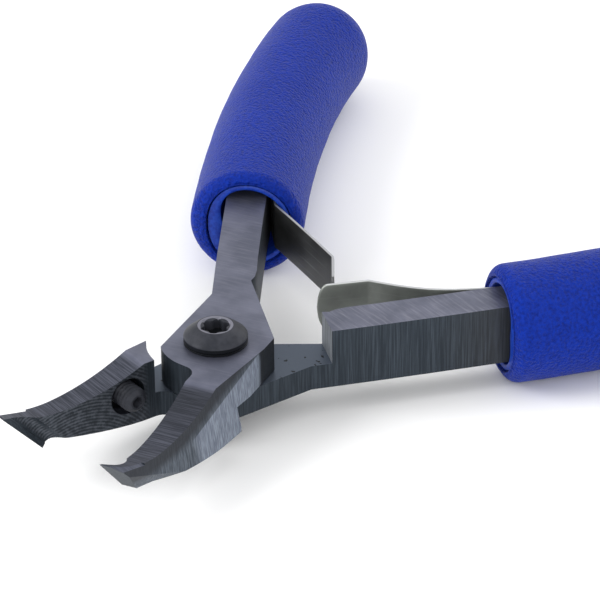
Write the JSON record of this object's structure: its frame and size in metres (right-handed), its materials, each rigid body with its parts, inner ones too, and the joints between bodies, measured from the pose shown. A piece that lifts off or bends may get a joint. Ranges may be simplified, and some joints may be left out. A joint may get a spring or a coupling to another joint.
{
  "type": "flush cut pliers",
  "caption": "Flush cutting pliers with hollow-ground angled jaws, screw pivot, jaw stop screw, foam grips and opposed return leaf springs.",
  "frame": {"origin": "on the pivot axis, at the flush end of the pivot screw, level with the underside of the levers", "axes": "+Y from the pivot towards the grips along the middle between them, -Y towards the jaw tips, +Z along the pivot axis towards the screw head"},
  "size_m": [0.1302, 0.1355, 0.0184],
  "materials": {
    "black_oxide_steel": "black oxide, ground",
    "black_screw": "black oxide, satin",
    "spring_steel": "satin",
    "grip_liner": "smooth",
    "grip_foam": "fine pebbled foam"
  },
  "bodies": {
    "lower_half": {"lever_lower": "black_oxide_steel", "pivot_screw": "black_screw", "pivot_washer": "black_screw", "leaf_root_lower": "spring_steel", "leaf_rivet_lower": "spring_steel", "grip_liner_lower": "grip_liner", "grip_foam_lower": "grip_foam"},
    "upper_half": {"lever_upper": "black_oxide_steel", "leaf_root_upper": "spring_steel", "leaf_rivet_upper": "spring_steel", "grip_liner_upper": "grip_liner", "grip_foam_upper": "grip_foam"},
    "leaf_lower": {"leaf_blade_lower": "spring_steel"},
    "leaf_upper": {"leaf_blade_upper": "spring_steel"},
    "stop": {"stop_screw": "black_screw"}
  },
  "joints": [
    {"name": "jaw_pivot", "type": "hinge", "parent": "lower_half", "child": "upper_half", "pos_m": [0, 0, 0], "axis": [0, 0, -1], "range_deg": [0, 28.8], "stiffness_Nm_per_rad": 1, "springref_deg": -5.73},
    {"name": "leaf_flex_lower", "type": "hinge", "parent": "lower_half", "child": "leaf_lower", "pos_m": [0.02149, 0.03958, 0.0048], "axis": [0, 0, 1], "range_deg": [0, 18.5]},
    {"name": "leaf_flex_upper", "type": "hinge", "parent": "upper_half", "child": "leaf_upper", "pos_m": [-0.02149, 0.03958, 0.0048], "axis": [0, 0, -1], "range_deg": [0, 24.6]},
    {"name": "stop_adjust", "type": "slide", "parent": "lower_half", "child": "stop", "axis": [0.9681, -0.2504, 0], "range_m": [-0.001, 0]}
  ],
  "couplings": [
    {"joint": "leaf_flex_lower", "follows": "jaw_pivot", "ratio": 0.64},
    {"joint": "leaf_flex_upper", "follows": "jaw_pivot", "ratio": 0.85}
  ]
}
